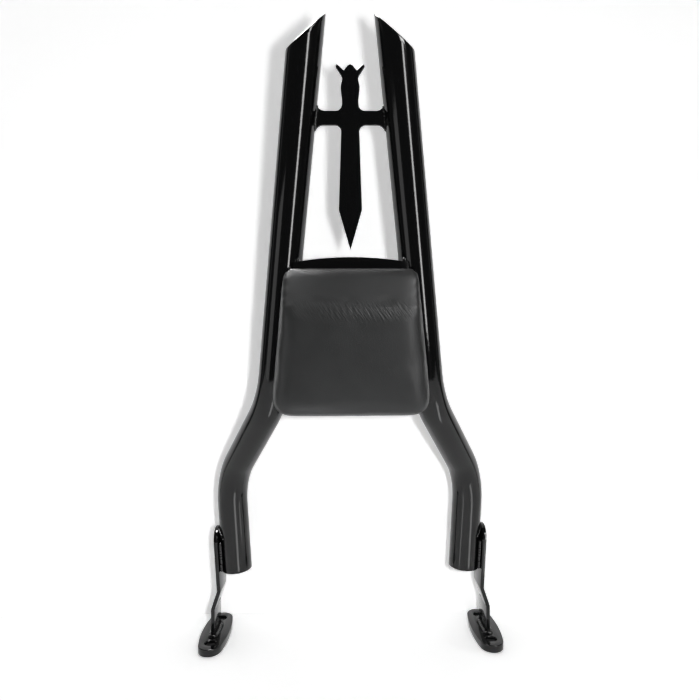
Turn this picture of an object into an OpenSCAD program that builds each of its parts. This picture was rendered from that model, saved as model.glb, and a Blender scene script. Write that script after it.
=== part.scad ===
// Sissy bar for a motorcycle: two bent and slash-cut tubes, a cut-out dagger plate,
// a padded backrest and two bolt-down feet. Millimetres, +Z up, front towards -Y.
// The origin is the middle of the four foot bolts, on the underside of the feet.

/* [Tubes] */
// Outer diameter of both tubes
tube_d = 32; // [28:0.5:36]
// Wall thickness of both tubes
tube_wall = 2.5; // [1.5:0.5:4]
// Height of the lower tube ends above the underside of the feet
lower_end_z = 75; // [68:1:82]
// Distance of each tube axis from the middle plane at its lower end
lower_end_x = 124; // [115:1:135]
// Inward slant of the lower tube legs, in degrees
toe_angle = 3.5; // [0:0.5:6]
// Height of the lower elbow, where the axes of leg and slope meet
low_elbow_z = 175; // [170:1:190]
// Height of the upper elbow, where the axes of slope and upright meet
up_elbow_z = 265; // [255:1:280]
// Distance of each upper elbow from the middle plane
up_elbow_x = 75.7; // [70:0.5:82]
// How far the upper elbow stands in front of the legs
up_elbow_front = 62.4; // [50:1:75]
// Bend radius of the lower elbow, at the tube axis
low_bend_r = 72; // [60:1:80]
// Bend radius of the upper elbow, at the tube axis
up_bend_r = 95; // [80:1:105]
// Forward lean of the uprights, in degrees
lean_angle = 10.1; // [6:0.1:14]
// Inward splay of each upright within the leaning plane, in degrees
splay_angle = 6.5; // [4:0.1:8]
// Length of the uprights from the elbow to the slash tips, up the leaning plane
upright_len = 342.5; // [320:1:360]
// Slope of the slash cut below level, in degrees
slash_angle = 40; // [30:1:50]
// Thickness of the plates that close the tube ends
cap_t = 3; // [2:0.5:5]

/* [Feet and struts] */
// Distance of each foot from the middle plane
foot_x = 147.3; // [144:0.5:152]
// Length of a foot, front to back
foot_len = 76; // [72:1:90]
// Width of a foot at its middle
foot_w = 30; // [27:0.5:36]
// Radius of the foot's rounded ends
foot_end_r = 12.5; // [11:0.5:13]
// Thickness of a foot
foot_t = 8; // [5:0.5:10]
// Spacing of the two bolt slots in a foot, front to back
slot_pitch = 50; // [46:1:54]
// Width of a bolt slot, for the bolt's diameter with play
slot_w = 9; // [7:0.5:10]
// Length of a bolt slot, across the motorcycle
slot_len = 11.5; // [10.5:0.5:14]
// Width of the strut's flat bar
strut_w = 30; // [26:1:32]
// Thickness of the strut's flat bar
strut_t = 4; // [3:0.5:5]
// Height of the strut's rounded top
strut_top_z = 122; // [112:1:126]
// Height of the strut's upper bend
strut_bend_up_z = 56; // [52:1:60]
// Height of the strut's lower bend
strut_bend_low_z = 37; // [33:1:41]
// Inside radius of the strut's bends
strut_bend_r = 4; // [2:0.5:8]
// Leg of the fillet weld round the foot of a strut
foot_weld_leg = 4.5; // [3:0.5:5]
// Reach of the strut's side welds from the middle of the strut
strut_weld_reach = 12.6; // [11.5:0.1:12.9]

/* [Dagger plate] */
// Thickness of the dagger plate
dagger_t = 4; // [3:0.5:6]
// Height of the dagger's tip above the upper elbows, up the leaning plane
dagger_tip_s = 142.5; // [140:0.5:150]
// Length of the dagger's tapered point
point_len = 36; // [28:1:42]
// Length of the blade from the point's shoulders to the guard
blade_len = 73; // [68:1:80]
// Width of the blade at the point's shoulders
blade_shoulder_w = 21.3; // [18:0.1:24]
// Width of the blade at the guard
blade_root_w = 16.3; // [14:0.1:18]
// Height of the cross-guard
guard_h = 12; // [10:0.5:14]
// Radius of the fillets between guard, blade and grip
guard_fillet_r = 5.5; // [4:0.5:6]
// Radius of the flares where the guard meets the tubes
guard_flare_r = 7; // [5:0.5:8]
// Length of the grip from the guard to the crown's neck
grip_len = 26.5; // [24:0.5:30]
// Width of the grip at its waist
grip_waist_w = 14.8; // [13:0.1:16]
// Width of the grip at its swell
grip_swell_w = 16.8; // [15:0.1:18]
// Width of the neck under the crown
neck_w = 13.8; // [12:0.1:15]
// Height of the crown above the neck
crown_h = 11.2; // [9:0.1:13]
// Distance between the crown's outer points
crown_w = 24.5; // [22:0.5:27]
// Depth of the notches between the crown's points
crown_notch = 4.6; // [3:0.1:6]
// Radius of the weld beads at the guard and the pad plate
bead_r = 2.6; // [2:0.1:3.2]

/* [Pad] */
// Width of the pad's back at its lower edge, before its corners are rounded
pad_low_w = 149; // [140:1:156]
// Height of the pad's back, up the leaning plane
pad_h = 134; // [126:1:140]
// Height of the pad's lower edge above the upper elbows
pad_low_s = -8; // [-12:1:-4]
// Corner radius of the pad's back
pad_corner_r = 12; // [8:1:16]
// Thickness of the pad from its back to its front face
pad_t = 32; // [26:1:40]
// How far the pad's sides lean in from the back to the front face
pad_flare = 8; // [4:0.5:12]
// How far the pad's lower side leans up from the back to the front face
pad_low_flare = 11; // [6:0.5:14]
// Height of the front face's upper edge above the pad's lower edge
pad_brow = 101; // [92:1:106]
// Thickness of the pad at its upper edge
pad_top_t = 12; // [9:0.5:16]
// Edge radius of the pad's front
pad_edge_r = 6; // [4:0.5:7]
// Thickness of the vinyl cover
cover_t = 1.2; // [0.8:0.1:2]
// Width of the cover's hem that is stapled to the back of the board
hem_w = 14; // [10:1:18]
// Thickness of the pad's base board
board_t = 6; // [5:0.5:8]
// Gap between the tubes and the pad
pad_gap = 0.2; // [0.1:0.1:0.6]

/* [Pad mounting] */
// Thickness of the steel plate behind the pad
plate_t = 4; // [3:0.5:5]
// Height of the plate's lower edge above the upper elbows
plate_low_s = 14; // [8:1:22]
// Height of the plate's upper edge at the tubes
plate_top_s = 132; // [129:1:138]
// Rise of the plate's arched upper edge
plate_arch = 4.4; // [2:0.2:7]
// Spacing of the pad screws, across and up
screw_pitch = 64; // [52:1:70]
// Height of the screws' middle above the upper elbows
screw_mid_s = 70; // [64:1:76]
// Diameter of the pad screws
screw_d = 6; // [5:0.5:6]
// Clearance between a screw and its hole in the plate, on the diameter
screw_play = 0.6; // [0.3:0.1:1]
// Outer diameter of the tee nuts' barrels
tee_d = 8; // [7.5:0.5:10]
// Outer diameter of the washers
washer_d = 14; // [13:0.5:18]
// Thickness of the washers
washer_t = 1.4; // [1:0.1:2]

/* [Hidden] */
$fn = 96;

far = 400;
tube_sides = 40;
bend_steps = 10;
tube_r = tube_d / 2;
bore_r = tube_r - tube_wall;
fit = 0.1;

// Elbows and ends of the right tube's axis.
p_low = [lower_end_x, 0, lower_end_z];
p_elbow_low = [lower_end_x + (low_elbow_z - lower_end_z) * tan(toe_angle), 0, low_elbow_z];
p_elbow_up = [up_elbow_x, -up_elbow_front, up_elbow_z];
up_dir = [-sin(splay_angle), -cos(splay_angle) * sin(lean_angle), cos(splay_angle) * cos(lean_angle)];
up_run = upright_len / cos(splay_angle);

// Places in the leaning plane: s is the height above the upper elbows.
function axis_x(s) = up_elbow_x - s * tan(splay_angle);
function side_x(s, reach) = axis_x(s) - reach / cos(splay_angle);
slash_tip_x = side_x(upright_len, tube_r);

dagger_shoulder_s = dagger_tip_s + point_len;
guard_low_s = dagger_shoulder_s + blade_len;
guard_top_s = guard_low_s + guard_h;
neck_s = guard_top_s + grip_len;
crown_s = neck_s + crown_h;

pad_back = tube_r + pad_gap;
pad_front = pad_back + pad_t;
pad_top_s = pad_low_s + pad_h;
board_back = pad_back + cover_t;
board_inset = cover_t + 3 * fit;
plate_rear = tube_r - plate_t;
screw_r = screw_d / 2;
screw_head_r = screw_d;
screw_head_h = screw_d * 0.6;
plate_bead_len = 24;
plate_bead_inset = 4;
tee_flange_t = 1;
tee_flange_r = tee_d * 0.9;

function unit(v) = v / norm(v);
// A direction and a point of the leaning plane's own axes, in the part's frame.
function lean_dir(v) = [v[0], v[1] * cos(lean_angle) - v[2] * sin(lean_angle),
    v[1] * sin(lean_angle) + v[2] * cos(lean_angle)];
function lean_point(v) = [0, -up_elbow_front, up_elbow_z] + lean_dir(v);
function flip(pts) = [for (i = [len(pts) - 1:-1:0]) [-pts[i][0], pts[i][1]]];
// Smooth curve through points: n steps on each stretch.
function blend4(a, b, c, d, t) = 0.5 * (2 * b + (c - a) * t + (2 * a - 5 * b + 4 * c - d) * t * t
    + (3 * b - a - 3 * c + d) * t * t * t);
function curve(pts, n) = [
    for (i = [0:len(pts) - 2]) for (k = [0:n - 1])
        blend4(pts[max(i - 1, 0)], pts[i], pts[i + 1], pts[min(i + 2, len(pts) - 1)], k / n)];

module right_side() children();
module left_side() mirror([1, 0, 0]) children();

// Moves a piece from the leaning plane's own axes to the part's frame.
module on_uprights() translate([0, -up_elbow_front, up_elbow_z]) rotate([lean_angle, 0, 0]) children();

// Stands a piece along the right upright's axis, in the leaning plane.
module on_axis() translate([up_elbow_x, 0, 0]) rotate([0, -splay_angle, 0]) children();

// Stands a flat outline, drawn as x and height, in the leaning plane between two depths.
module upright_sheet(back, front)
    translate([0, back, 0]) rotate([90, 0, 0]) linear_extrude(back - front) children();

// A vector turned about a unit axis.
function turn(v, axis, a) = v * cos(a) + cross(axis, v) * sin(a) + axis * (axis * v) * (1 - cos(a));

// The tube as a bender makes it: straight runs joined by two bends, each in its own plane.
leg_dir = unit(p_elbow_low - p_low);
slope_dir = unit(p_elbow_up - p_elbow_low);
low_bend = acos(leg_dir * slope_dir);
up_bend = acos(slope_dir * up_dir);
low_axis = unit(cross(leg_dir, slope_dir));
up_axis = unit(cross(slope_dir, up_dir));
low_start = p_elbow_low - low_bend_r * tan(low_bend / 2) * leg_dir;
up_start = p_elbow_up - up_bend_r * tan(up_bend / 2) * slope_dir;

// Rings along a bend: each is its centre and the two directions that its circle lies in.
function bend_rings(start, dir, axis, angle, bend_r, x_dir, y_dir) = [
    for (i = [0:bend_steps]) let(a = angle * i / bend_steps, out = cross(dir, axis))
        [start + bend_r * (turn(out, axis, a) - out), turn(x_dir, axis, a), turn(y_dir, axis, a)]];

leg_x = unit(cross([0, 1, 0], leg_dir));
leg_y = cross(leg_dir, leg_x);
low_rings = bend_rings(low_start, leg_dir, low_axis, low_bend, low_bend_r, leg_x, leg_y);
slope_x = low_rings[bend_steps][1];
slope_y = low_rings[bend_steps][2];
up_rings = bend_rings(up_start, slope_dir, up_axis, up_bend, up_bend_r, slope_x, slope_y);
tube_rings = concat([[p_low + cap_t * leg_dir, leg_x, leg_y]], low_rings, up_rings);

function ring_points(ring, r) = [for (k = [0:tube_sides - 1]) let(a = 360 * k / tube_sides)
    ring[0] + r * (cos(a) * ring[1] + sin(a) * ring[2])];

// The slash plane: a point on it and its normal.
slash_point = lean_point([slash_tip_x, 0, upright_len]);
slash_normal = lean_dir([sin(slash_angle), 0, cos(slash_angle)]);

// The last ring run up the upright to the slash plane, lowered by the cap's thickness.
function slash_points(r) = [for (q = ring_points(up_rings[bend_steps], r))
    q + up_dir * (((slash_point - q) * slash_normal - cap_t) / (up_dir * slash_normal))];

// Everything above the slash cut, lowered by drop square to the cut.
module above_slash(drop) translate([slash_tip_x, 0, upright_len])
    rotate([0, slash_angle, 0]) translate([-far / 2, -far / 2, -drop]) cube([far, far, far / 2]);

// The lower leg's own axes, at the tube's lower end.
module leg_frame() translate(p_low) rotate([0, toe_angle, 0]) children();
strut_seat_top = (strut_top_z - lower_end_z) / cos(toe_angle);

// The bent tube with its bore, as rings of the outside and then rings of the bore.
module tube() {
    n = tube_sides;
    outer = concat([for (ring = tube_rings) ring_points(ring, tube_r)], [slash_points(tube_r)]);
    inner = concat([for (ring = tube_rings) ring_points(ring, bore_r)], [slash_points(bore_r)]);
    last = len(outer) - 1;
    wall = [for (i = [0:last - 1]) for (k = [0:n - 1]) let(m = (k + 1) % n)
        [i * n + k, (i + 1) * n + k, (i + 1) * n + m, i * n + m]];
    start = (last + 1) * n;
    bore = [for (f = wall) [start + f[3], start + f[2], start + f[1], start + f[0]]];
    low_end = [for (k = [0:n - 1]) let(m = (k + 1) % n) [k, m, start + m, start + k]];
    top_end = [for (f = low_end) [for (j = [3:-1:0]) f[j] + last * n]];
    polyhedron([for (ring = concat(outer, inner)) for (q = ring) q], concat(wall, bore, low_end, top_end));
}

// Plate that closes the slash cut, flush with the tube's outside.
module slash_cap() on_uprights() difference() {
    intersection() {
        on_axis() translate([0, 0, up_run - 5 * tube_r]) cylinder(h = 7 * tube_r, r = tube_r);
        above_slash(cap_t - fit / 2);
    }
    above_slash(0);
}

// Disc that closes the lower end of a tube.
module lower_cap() leg_frame() cylinder(h = cap_t - fit / 2, r = tube_r);

// One bend of a strip's edge: the corner q between p and n, rounded to bend_r and set to the left by off.
function edge_bend(p, q, n, bend_r, off) = let(
        u = unit(p - q), v = unit(n - q), half = acos(u * v) / 2,
        centre = q + unit(u + v) * bend_r / sin(half),
        a = unit(q + u * bend_r / tan(half) - centre), b = unit(q + v * bend_r / tan(half) - centre),
        left = [u[1], -u[0]] * (centre - q) > 0 ? bend_r - off : bend_r + off, angle = 180 - 2 * half)
    [for (i = [0:6]) centre + left * (sin(angle * (6 - i) / 6) * a + sin(angle * i / 6) * b) / sin(angle)];

// One edge of a strip that runs through four points with two bends, set to the left by off.
function strip_edge(a, b, c, d, bend_r, off) = let(e = unit(b - a), f = unit(d - c)) concat(
    [a + off * [-e[1], e[0]]], edge_bend(a, b, c, bend_r, off), edge_bend(b, c, d, bend_r, off),
    [d + off * [-f[1], f[0]]]);

function backwards(list) = [for (i = [len(list) - 1:-1:0]) list[i]];

// Middle of the strut's thickness at height z, along the tube leg.
function strut_x(z) = lower_end_x + (z - lower_end_z) * tan(toe_angle)
    + (tube_r + fit / 2 + strut_t / 2) / cos(toe_angle);

function strut_edge(off) = strip_edge([strut_x(strut_top_z), strut_top_z],
    [strut_x(strut_bend_up_z), strut_bend_up_z], [foot_x, strut_bend_low_z], [foot_x, foot_t],
    strut_bend_r + strut_t / 2, off);

module strut() intersection() {
    translate([0, strut_w / 2, 0]) rotate([90, 0, 0]) linear_extrude(strut_w)
        polygon(concat(strut_edge(-strut_t / 2), backwards(strut_edge(strut_t / 2))));
    union() {
        translate([foot_x - strut_w, -strut_w / 2, foot_t])
            cube([2 * strut_w, strut_w, strut_top_z - strut_w / 2 - foot_t]);
        translate([foot_x - strut_w, 0, strut_top_z - strut_w / 2]) rotate([0, 90, 0])
            cylinder(h = 2 * strut_w, r = strut_w / 2);
    }
}

// An oval of four arcs, with end radius r.
module oval(len, w, r) {
    c = len / 2 - r;
    b = w / 2;
    side_r = (b * b + c * c - r * r) / (2 * (b - r));
    join_y = c + r * c / (side_r - r);
    for (s = [-1, 1]) translate([0, s * c]) circle(r);
    intersection() {
        translate([b - side_r, 0]) circle(side_r, $fn = 360);
        translate([side_r - b, 0]) circle(side_r, $fn = 360);
        square([len, 2 * join_y], center = true);
    }
}

module foot() translate([foot_x, 0, 0]) difference() {
    linear_extrude(foot_t) oval(foot_len, foot_w, foot_end_r);
    for (y = [-1, 1] * slot_pitch / 2) translate([0, y, -1]) {
        for (x = [-1, 1] * (slot_len - slot_w) / 2) translate([x, 0, 0]) cylinder(h = foot_t + 2, d = slot_w);
        translate([(slot_w - slot_len) / 2, -slot_w / 2, 0]) cube([slot_len - slot_w, slot_w, foot_t + 2]);
    }
}

// Fillet welds in the grooves between the strut's edges and the tube.
module strut_weld() difference() {
    leg_frame() for (s = [-1, 1]) scale([1, s, 1]) translate([0, 0, cap_t]) linear_extrude(strut_seat_top - strut_w / 2)
        polygon([[tube_r, tube_r / 5], [tube_r, strut_weld_reach],
            [0.72 * tube_r, 0.72 * tube_r], [tube_r / 2, tube_r / 3]]);
    leg_frame() cylinder(h = far / 2, r = tube_r + fit / 2);
}

// Fillet weld all round the foot of the strut.
module foot_weld() translate([foot_x, 0, foot_t]) difference() {
    hull() {
        linear_extrude(0.8) offset(foot_weld_leg) square([strut_t, strut_w - 2], center = true);
        linear_extrude(foot_weld_leg) square([strut_t + 1, strut_w + 1], center = true);
    }
    cube([strut_t + fit, strut_w + fit, 4 * foot_weld_leg], center = true);
}

// Right half of the grip and crown, from the guard up to the middle of the top.
function grip_outline() = concat(
    curve([[grip_waist_w / 2 + 0.2, guard_top_s + 0.05 * grip_len], [grip_waist_w / 2, guard_top_s + 0.35 * grip_len],
        [grip_swell_w / 2, guard_top_s + 0.72 * grip_len], [neck_w / 2, neck_s],
        [neck_w / 2 + 1.4, neck_s + 0.25 * crown_h], [crown_w / 2 - 1.3, crown_s - 3]], 6),
    curve([[crown_w / 2 - 0.4, crown_s - 2.2], [crown_w / 2, crown_s - 0.9], [crown_w / 2 - 1.3, crown_s],
        [crown_w / 2 - 3.2, crown_s - 1.4], [crown_w / 4 + 0.6, crown_s - crown_notch],
        [crown_w / 4 - 0.9, crown_s - crown_notch + 0.2], [1.7, crown_s - 1], [0, crown_s]], 4),
    [[0, crown_s]]);

// A square corner at p filled by a concave round of radius r, towards the signs sx and sy.
module corner_fill(p, r, sx, sy) translate(p) scale([sx, sy, 1]) difference() {
    polygon([[-1, -1], [r, -1], [r, 0], [0, r], [-1, r]]);
    translate([r, r]) circle(r);
}

module dagger_outline() {
    guard_reach = axis_x(guard_low_s);
    polygon(concat([[0, dagger_tip_s], [blade_shoulder_w / 2, dagger_shoulder_s],
        [blade_root_w / 2, guard_low_s + 1], [0, guard_low_s + 1]],
        [[-blade_root_w / 2, guard_low_s + 1], [-blade_shoulder_w / 2, dagger_shoulder_s]]));
    translate([-guard_reach, guard_low_s]) square([2 * guard_reach, guard_h]);
    polygon(concat([[-grip_waist_w / 2 - 0.2, guard_top_s - 1], [grip_waist_w / 2 + 0.2, guard_top_s - 1]],
        grip_outline(), flip(grip_outline())));
    for (sx = [-1, 1]) {
        corner_fill([sx * blade_root_w / 2, guard_low_s], guard_fillet_r, sx, -1);
        corner_fill([sx * (grip_waist_w / 2 + 0.1), guard_top_s], guard_fillet_r, sx, 1);
        corner_fill([sx * side_x(guard_low_s, tube_r), guard_low_s], guard_flare_r, -sx, -1);
        corner_fill([sx * side_x(guard_top_s, tube_r), guard_top_s], guard_flare_r, -sx, 1);
    }
}

// Clears the outside of both uprights from a piece drawn in the leaning plane.
module upright_bars(r) for (sx = [-1, 1]) scale([sx, 1, 1])
    on_axis() translate([0, 0, -far / 4]) cylinder(h = 1.5 * far, r = r);

module dagger_plate() on_uprights() difference() {
    upright_sheet(dagger_t / 2, -dagger_t / 2) dagger_outline();
    upright_bars(tube_r + fit);
}

// A bead along the right upright between heights lo and hi, at offset x and depth y from its axis.
module upright_bead(lo, hi, x, y) on_axis() translate([x, y, lo / cos(splay_angle)]) {
    cylinder(h = (hi - lo) / cos(splay_angle), r = bead_r);
    sphere(bead_r);
    translate([0, 0, (hi - lo) / cos(splay_angle)]) sphere(bead_r);
}

// Beads on the front and the back of the guard where it meets a tube.
module guard_weld() on_uprights() difference() {
    for (sy = [-1, 1]) upright_bead(guard_low_s - guard_flare_r / 2, guard_top_s + guard_flare_r / 2,
        -tube_r - bead_r / 4, sy * (dagger_t / 2 + bead_r / 3));
    translate([0, 0, guard_low_s]) cube([far, dagger_t + fit, far], center = true);
    upright_bars(tube_r + fit);
}

// The plate's outline: straight sides between the tubes and an arched upper edge.
module plate_outline() {
    edge = sqrt(tube_r * tube_r - plate_rear * plate_rear) - 1.6;
    half_low = side_x(plate_low_s, edge);
    half_top = side_x(plate_top_s, edge);
    arch_r = (half_top * half_top + plate_arch * plate_arch) / (2 * plate_arch);
    arch = [for (i = [0:24]) let(x = half_top * (1 - i / 12))
        [x, plate_top_s + plate_arch - arch_r + sqrt(arch_r * arch_r - x * x)]];
    polygon(concat([[-half_low, plate_low_s], [half_low, plate_low_s]], arch));
}

module at_screws() for (x = [-1, 1] * screw_pitch / 2, s = [-1, 1] * screw_pitch / 2)
    translate([x, 0, screw_mid_s + s]) rotate([90, 0, 0]) children();

module pad_mount_plate() on_uprights() difference() {
    upright_sheet(-plate_rear, -tube_r) plate_outline();
    upright_bars(tube_r + fit);
    at_screws() translate([0, 0, plate_rear - 1]) cylinder(h = plate_t + 2, d = screw_d + screw_play);
}

// Beads in the corner behind the plate, one low and one at the top of each side.
module plate_weld() on_uprights() difference() {
    for (s = [plate_low_s + plate_bead_inset, plate_top_s - plate_bead_len]) upright_bead(s, s + plate_bead_len,
        -sqrt(tube_r * tube_r - plate_rear * plate_rear) - bead_r / 3, -plate_rear + bead_r / 3);
    translate([0, -plate_rear - plate_t / 2, 0]) cube([far, plate_t + fit, 2 * far], center = true);
    upright_bars(tube_r + fit);
}

// The pad's outer form drawn in by t all round, without its rounded back edge.
module pad_form(t) {
    half_low = pad_low_w / 2;
    slant = tan(splay_angle);
    function half_at(s) = half_low - (s - pad_low_s) * slant;
    back_r = pad_corner_r - t;
    brow_s = pad_low_s + pad_brow;
    r = pad_edge_r - t;
    hull() {
        for (sx = [-1, 1]) {
            for (s = [pad_low_s + pad_corner_r, pad_top_s - pad_corner_r])
                translate([sx * (half_at(s) - pad_corner_r), -pad_back, s]) rotate([90, 0, 0])
                    cylinder(h = cover_t + board_t + fit, r = back_r, $fn = 32);
            translate([sx * (half_at(pad_low_s + pad_low_flare) - pad_flare - pad_edge_r - 3),
                pad_edge_r - pad_front, pad_low_s + pad_low_flare + pad_edge_r]) sphere(r, $fn = 32);
            translate([sx * (half_at(brow_s) - pad_flare - pad_edge_r), pad_edge_r - pad_front, brow_s - pad_edge_r])
                sphere(r, $fn = 32);
            translate([sx * (half_at(pad_top_s) - pad_corner_r + 1), pad_edge_r - pad_back - pad_top_t,
                pad_top_s - pad_edge_r - 1]) sphere(r, $fn = 32);
        }
    }
}

module behind(depth) translate([-far / 2, -depth, -far / 2]) cube([far, far, far]);

module board_outline(inset) {
    slant = tan(splay_angle);
    function half_at(s) = pad_low_w / 2 - (s - pad_low_s) * slant;
    r = max(pad_corner_r - inset, 2);
    hull() for (sx = [-1, 1], s = [pad_low_s + inset + r, pad_top_s - inset - r])
        translate([sx * (half_at(s) - inset - r), s]) circle(r, $fn = 32);
}

module pad_board() on_uprights() difference() {
    upright_sheet(-board_back - fit, fit - board_back - board_t) board_outline(board_inset);
    at_screws() translate([0, 0, board_back - 1]) cylinder(h = board_t + 2, d = tee_d + 2 * fit);
    at_screws() translate([0, 0, board_back + board_t - tee_flange_t - fit])
        cylinder(h = board_t, r = tee_flange_r + fit);
}

module pad_foam() on_uprights() difference() {
    pad_form(cover_t + fit);
    behind(board_back + board_t);
}

// The vinyl wraps the foam and the board and turns in over the board's back as a hem.
module pad_cover() on_uprights() difference() {
    pad_form(0);
    difference() {
        pad_form(cover_t);
        behind(board_back);
    }
    upright_sheet(far, -board_back - fit) board_outline(hem_w);
    behind(pad_back);
}

module pad_tee_nuts() on_uprights() at_screws() difference() {
    union() {
        translate([0, 0, board_back + 2 * fit]) cylinder(h = board_t - 3 * fit, d = tee_d);
        translate([0, 0, board_back + board_t - tee_flange_t]) cylinder(h = tee_flange_t - fit, r = tee_flange_r);
    }
    translate([0, 0, board_back - 1]) cylinder(h = board_t + 2, d = screw_d + 2 * fit);
}

module pad_screws() on_uprights() at_screws() {
    translate([0, 0, plate_rear - washer_t - 2 * fit]) cylinder(h = board_back + board_t - plate_rear + washer_t - fit,
        r = screw_r);
    intersection() {
        translate([0, 0, plate_rear - washer_t - 2 * fit - screw_head_h])
            cylinder(h = screw_head_h, r = screw_head_r);
        translate([0, 0, plate_rear - washer_t + 0.2 * screw_d]) sphere(screw_head_r * 1.08);
    }
}

module pad_washers() on_uprights() at_screws() translate([0, 0, plate_rear - washer_t - fit]) difference() {
    cylinder(h = washer_t, d = washer_d);
    translate([0, 0, -1]) cylinder(h = washer_t + 2, d = screw_d + screw_play);
}

gloss = "#101113";
color(gloss) left_side() tube();  // left_tube
color(gloss) right_side() tube();  // right_tube
color(gloss) left_side() slash_cap();  // left_slash_cap
color(gloss) right_side() slash_cap();  // right_slash_cap
color(gloss) left_side() lower_cap();  // left_lower_cap
color(gloss) right_side() lower_cap();  // right_lower_cap
color(gloss) left_side() strut();  // left_strut
color(gloss) right_side() strut();  // right_strut
color(gloss) left_side() foot();  // left_foot
color(gloss) right_side() foot();  // right_foot
color(gloss) left_side() strut_weld();  // left_strut_weld
color(gloss) right_side() strut_weld();  // right_strut_weld
color(gloss) left_side() foot_weld();  // left_foot_weld
color(gloss) right_side() foot_weld();  // right_foot_weld
color(gloss) dagger_plate();
color(gloss) left_side() guard_weld();  // left_guard_weld
color(gloss) right_side() guard_weld();  // right_guard_weld
color(gloss) pad_mount_plate();
color(gloss) left_side() plate_weld();  // left_plate_weld
color(gloss) right_side() plate_weld();  // right_plate_weld
color("#2b2b2b") pad_board();
color("#c9b98a") pad_foam();
color("#26282a") pad_cover();
color("#b9bcc0") pad_tee_nuts();
color("#c4c7cb") pad_screws();
color("#c4c7cb") pad_washers();
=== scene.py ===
# Looks of the sissy bar: gloss black bent tubes, a cut-out dagger plate, a vinyl pad and bolt-down feet.
# All lengths are in metres, in the CAD model's frame: +Z up, the padded front towards -Y.
import math
import random

import bmesh
import bpy
from mathutils import Matrix, Vector, noise


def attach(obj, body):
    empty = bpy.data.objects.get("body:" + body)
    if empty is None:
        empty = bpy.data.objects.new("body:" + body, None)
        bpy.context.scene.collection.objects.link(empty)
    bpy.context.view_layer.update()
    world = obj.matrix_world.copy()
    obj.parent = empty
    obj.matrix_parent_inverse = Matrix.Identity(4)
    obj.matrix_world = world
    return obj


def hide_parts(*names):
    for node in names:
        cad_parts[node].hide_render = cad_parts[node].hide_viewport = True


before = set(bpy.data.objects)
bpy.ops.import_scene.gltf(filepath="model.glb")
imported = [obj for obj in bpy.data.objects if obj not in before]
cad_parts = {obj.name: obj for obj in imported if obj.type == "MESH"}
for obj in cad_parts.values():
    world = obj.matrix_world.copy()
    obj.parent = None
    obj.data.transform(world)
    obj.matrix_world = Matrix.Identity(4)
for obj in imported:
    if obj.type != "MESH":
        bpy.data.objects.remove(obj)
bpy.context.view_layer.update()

MM = 0.001

# Tubes, as the CAD model bends them.
TUBE_R = 16 * MM
TUBE_WALL = 2.5 * MM
CAP_T = 3 * MM
LEG_END = Vector((124, 0, 75)) * MM
TOE = math.radians(3.5)
LOW_ELBOW = Vector((124 + 100 * math.tan(TOE), 0, 175)) * MM
UP_ELBOW = Vector((75.7, -62.4, 265)) * MM
LOW_BEND_R = 72 * MM
UP_BEND_R = 95 * MM
LEAN = math.radians(10.1)
SPLAY = math.radians(6.5)
UPRIGHT_LEN = 342.5 * MM
SLASH = math.radians(40)
SIDES = 72
BEND_STEPS = 26

# Camera, fitted to the photo.
FOCAL_PX = 510
FRAME_PX = 700
EYE = Vector((-9.0, -560, 313)) * MM
AIM = math.radians(-0.98)
ROLL = math.radians(0.3)

LEAN_TURN = Matrix.Rotation(LEAN, 3, "X")
PLANE_ORIGIN = Vector((0, UP_ELBOW.y, UP_ELBOW.z))


def on_plane(x, y, s):
    """A point of the uprights' leaning plane: x across, y in depth, s up the plane from the elbows."""
    return PLANE_ORIGIN + LEAN_TURN @ Vector((x, y, s))


def plane_dir(x, y, s):
    return LEAN_TURN @ Vector((x, y, s))


UP_DIR = plane_dir(-math.sin(SPLAY), 0, math.cos(SPLAY))
SLASH_TIP_X = UP_ELBOW.x - UPRIGHT_LEN * math.tan(SPLAY) - TUBE_R / math.cos(SPLAY)
SLASH_POINT = on_plane(SLASH_TIP_X, 0, UPRIGHT_LEN)
SLASH_LINE = plane_dir(math.cos(SLASH), 0, -math.sin(SLASH))
SIGHT = (SLASH_POINT - EYE).normalized()
SLASH_TURN = math.radians(4)
SLASH_NORMAL = SLASH_LINE.cross(SIGHT).normalized() * math.cos(SLASH_TURN) + SIGHT * math.sin(SLASH_TURN)


def deselect():
    bpy.ops.object.select_all(action="DESELECT")


def open_mesh(piece):
    """Opens a piece in edit mode with everything selected."""
    deselect()
    piece.select_set(True)
    bpy.context.view_layer.objects.active = piece
    bpy.ops.object.mode_set(mode="EDIT")
    bpy.ops.mesh.select_all(action="SELECT")


def close_mesh():
    bpy.ops.object.mode_set(mode="OBJECT")


def settle(name):
    """Names the active object and puts its place into its mesh."""
    piece = bpy.context.active_object
    piece.name = name
    piece.data.name = name
    bpy.ops.object.transform_apply(location=True, rotation=True, scale=True)
    return piece


def apply_modifier(piece, kind, **settings):
    modifier = piece.modifiers.new(kind.title(), kind)
    for key, value in settings.items():
        setattr(modifier, key, value)
    deselect()
    piece.select_set(True)
    bpy.context.view_layer.objects.active = piece
    bpy.ops.object.modifier_apply(modifier=modifier.name)


def smooth(piece, degrees=30):
    deselect()
    piece.select_set(True)
    bpy.context.view_layer.objects.active = piece
    bpy.ops.object.shade_smooth_by_angle(angle=math.radians(degrees))


def outward(piece):
    open_mesh(piece)
    bpy.ops.mesh.normals_make_consistent(inside=False)
    close_mesh()


def mirrored(piece, name):
    """A copy of a piece on the other side of the middle plane."""
    twin = piece.copy()
    twin.data = piece.data.copy()
    twin.name = name
    twin.data.name = name
    bpy.context.collection.objects.link(twin)
    twin.data.transform(Matrix.Scale(-1, 4, (1, 0, 0)))
    twin.data.flip_normals()
    return twin


def turned_to(direction):
    return Vector(direction).to_track_quat("Z", "Y").to_euler()


# Gloss black tubes.

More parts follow.
